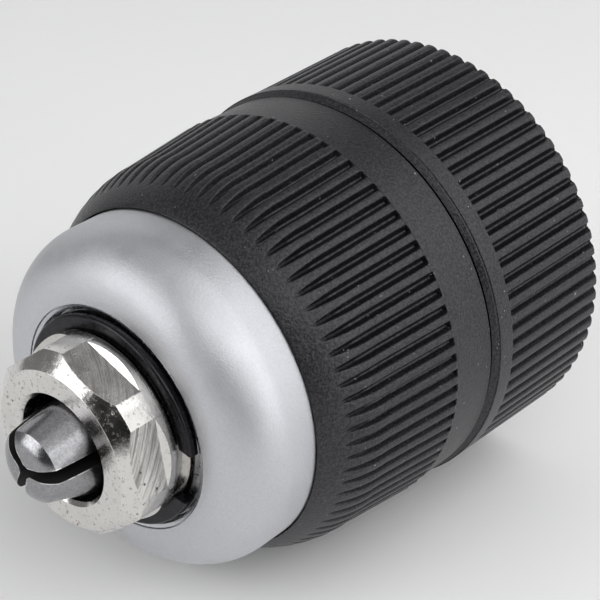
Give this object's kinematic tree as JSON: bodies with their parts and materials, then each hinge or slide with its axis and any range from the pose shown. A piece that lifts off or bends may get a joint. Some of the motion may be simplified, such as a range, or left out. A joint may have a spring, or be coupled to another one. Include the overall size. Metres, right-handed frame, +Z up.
{
  "type": "keyless drill chuck",
  "caption": "Hand-tightened drill chuck: ribbed rear sleeve on a plated body, ribbed front sleeve with a rounded nose cone, sliding jaws, split nut and ball thrust bearing",
  "frame": {"origin": "centre of the rear face, on the chuck's axis, at the mouth of the spindle socket", "axes": "+Y out of the rear face along the chuck's axis, so the nose points to -Y; +Z up; +X to the right seen from the nose"},
  "size_m": [0.0426, 0.0576, 0.0426],
  "materials": {
    "plated_steel": "bright nickel plating with fine pits",
    "black_plastic": "matt, fine moulded grain",
    "blasted_metal": "bead-blasted satin",
    "blackened_steel": "black oxide",
    "bright_steel": "turned",
    "nut_steel": "case-hardened, oiled",
    "ground_steel": "ground",
    "ball_steel": "polished",
    "cage_brass": "pressed sheet"
  },
  "bodies": {
    "housing": {"chuck_body": "plated_steel", "rear_sleeve": "black_plastic", "bearing_race_rear": "bright_steel", "snap_ring": "blackened_steel", "nose_washer": "bright_steel"},
    "front_drive": {"front_sleeve": "black_plastic", "nose_cone": "blasted_metal", "nut_band": "bright_steel", "nut_half_a": "nut_steel", "nut_half_b": "nut_steel", "bearing_race_front": "bright_steel"},
    "ball_train": {"ball_cage": "cage_brass", "ball_01": "ball_steel", "ball_02": "ball_steel", "ball_03": "ball_steel", "ball_04": "ball_steel", "ball_05": "ball_steel", "ball_06": "ball_steel", "ball_07": "ball_steel", "ball_08": "ball_steel", "ball_09": "ball_steel", "ball_10": "ball_steel", "ball_11": "ball_steel", "ball_12": "ball_steel", "ball_13": "ball_steel", "ball_14": "ball_steel", "ball_15": "ball_steel", "ball_16": "ball_steel"},
    "jaw_1": {"jaw_1": "ground_steel"},
    "jaw_2": {"jaw_2": "ground_steel"},
    "jaw_3": {"jaw_3": "ground_steel"}
  },
  "joints": [
    {"name": "front_sleeve_turn", "type": "hinge", "parent": "housing", "child": "front_drive", "pos_m": [0, -0.028, 0], "axis": [0, -1, 0], "range_deg": [0, 2830]},
    {"name": "ball_cage_turn", "type": "hinge", "parent": "housing", "child": "ball_train", "pos_m": [0, -0.0216, 0], "axis": [0, -1, 0], "range_deg": [0, 1416]},
    {"name": "jaw_1_slide", "type": "slide", "parent": "housing", "child": "jaw_1", "axis": [0.1, 0.9563, 0.2747], "range_m": [0, 0.0158]},
    {"name": "jaw_2_slide", "type": "slide", "parent": "housing", "child": "jaw_2", "axis": [-0.2879, 0.9563, -0.0508], "range_m": [0, 0.0158]},
    {"name": "jaw_3_slide", "type": "slide", "parent": "housing", "child": "jaw_3", "axis": [0.1879, 0.9563, -0.224], "range_m": [0, 0.0158]}
  ],
  "couplings": [
    {"joint": "ball_cage_turn", "follows": "front_sleeve_turn", "ratio": 0.5},
    {"joint": "jaw_1_slide", "follows": "front_sleeve_turn", "m_per_rad": 0.00031831},
    {"joint": "jaw_2_slide", "follows": "front_sleeve_turn", "m_per_rad": 0.00031831},
    {"joint": "jaw_3_slide", "follows": "front_sleeve_turn", "m_per_rad": 0.00031831}
  ]
}
